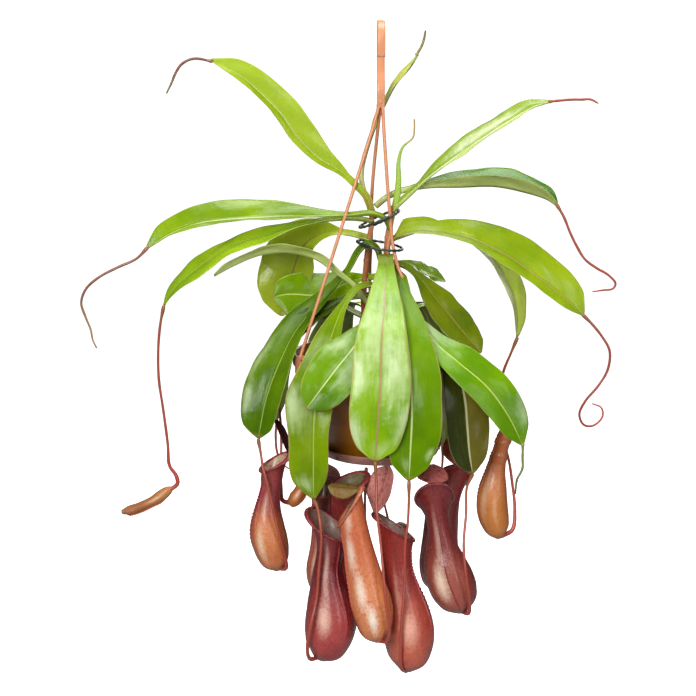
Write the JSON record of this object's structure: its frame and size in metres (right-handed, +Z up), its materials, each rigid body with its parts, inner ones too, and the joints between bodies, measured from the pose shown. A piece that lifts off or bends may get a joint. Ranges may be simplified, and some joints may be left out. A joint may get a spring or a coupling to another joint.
{
  "type": "hanging pitcher plant",
  "caption": "Tropical pitcher plant with strap leaves and dangling pitchers, growing in a round plastic pot with a clip-on saucer and a hooked hanger.",
  "frame": {"origin": "the point inside the top of the hook that bears on whatever the plant hangs from", "axes": "+Z up, -Y the front of the plant that the longest leaves spread across, +X to the right of a viewer who looks along +Y"},
  "size_m": [0.419, 0.2374, 0.5047],
  "materials": {
    "leaf": "waxy bright green leaf",
    "dark_pitcher": "shiny wine-red mottled pitcher",
    "orange_pitcher": "shiny orange young pitcher",
    "stem": "satin brown-green stem",
    "pot": "satin brown moulded plastic",
    "saucer": "satin mauve-brown moulded plastic",
    "hanger": "satin salmon moulded plastic",
    "soil": "damp bark and moss mix",
    "tie": "dark green coated wire"
  },
  "bodies": {
    "root": {"pot": "pot", "saucer": "saucer", "soil": "soil", "hanger_hook": "hanger", "strand_left": "hanger", "strand_right": "hanger", "strand_back": "hanger", "stem_main": "stem", "stem_left": "stem", "tie_lower": "tie", "tie_upper": "tie", "leaf_rolled": "leaf", "leaf_upper_left": "leaf", "leaf_upright": "leaf", "leaf_upper_right": "leaf", "leaf_right": "leaf", "leaf_far_right": "leaf", "leaf_right_hanging": "leaf", "leaf_far_left": "leaf", "leaf_left": "leaf", "leaf_left_folded": "leaf", "leaf_left_low": "leaf", "leaf_left_short": "leaf", "leaf_left_drooping": "leaf", "leaf_front_left": "leaf", "leaf_front_left_short": "leaf", "leaf_front": "leaf", "leaf_front_right": "leaf", "leaf_right_low": "leaf", "leaf_right_low_dark": "leaf", "leaf_front_far_right": "leaf", "leaf_right_shaded": "leaf", "leaf_left_shaded": "leaf", "leaf_back_left": "leaf", "leaf_back_right": "leaf", "leaf_back_middle": "leaf", "leaf_back_far_left": "leaf", "leaf_back_far_right": "leaf", "pitcher_left": "dark_pitcher", "pitcher_young_left": "orange_pitcher", "pitcher_middle_back": "dark_pitcher", "pitcher_front_left": "dark_pitcher", "pitcher_front": "orange_pitcher", "pitcher_front_right": "dark_pitcher", "pitcher_right": "dark_pitcher", "pitcher_right_back": "dark_pitcher", "pitcher_far_right": "orange_pitcher", "pitcher_young_far_left": "orange_pitcher", "pitcher_left_back": "orange_pitcher", "pitcher_back_left": "dark_pitcher", "pitcher_back_right": "dark_pitcher", "pitcher_young_back": "orange_pitcher"}
  },
  "joints": []
}
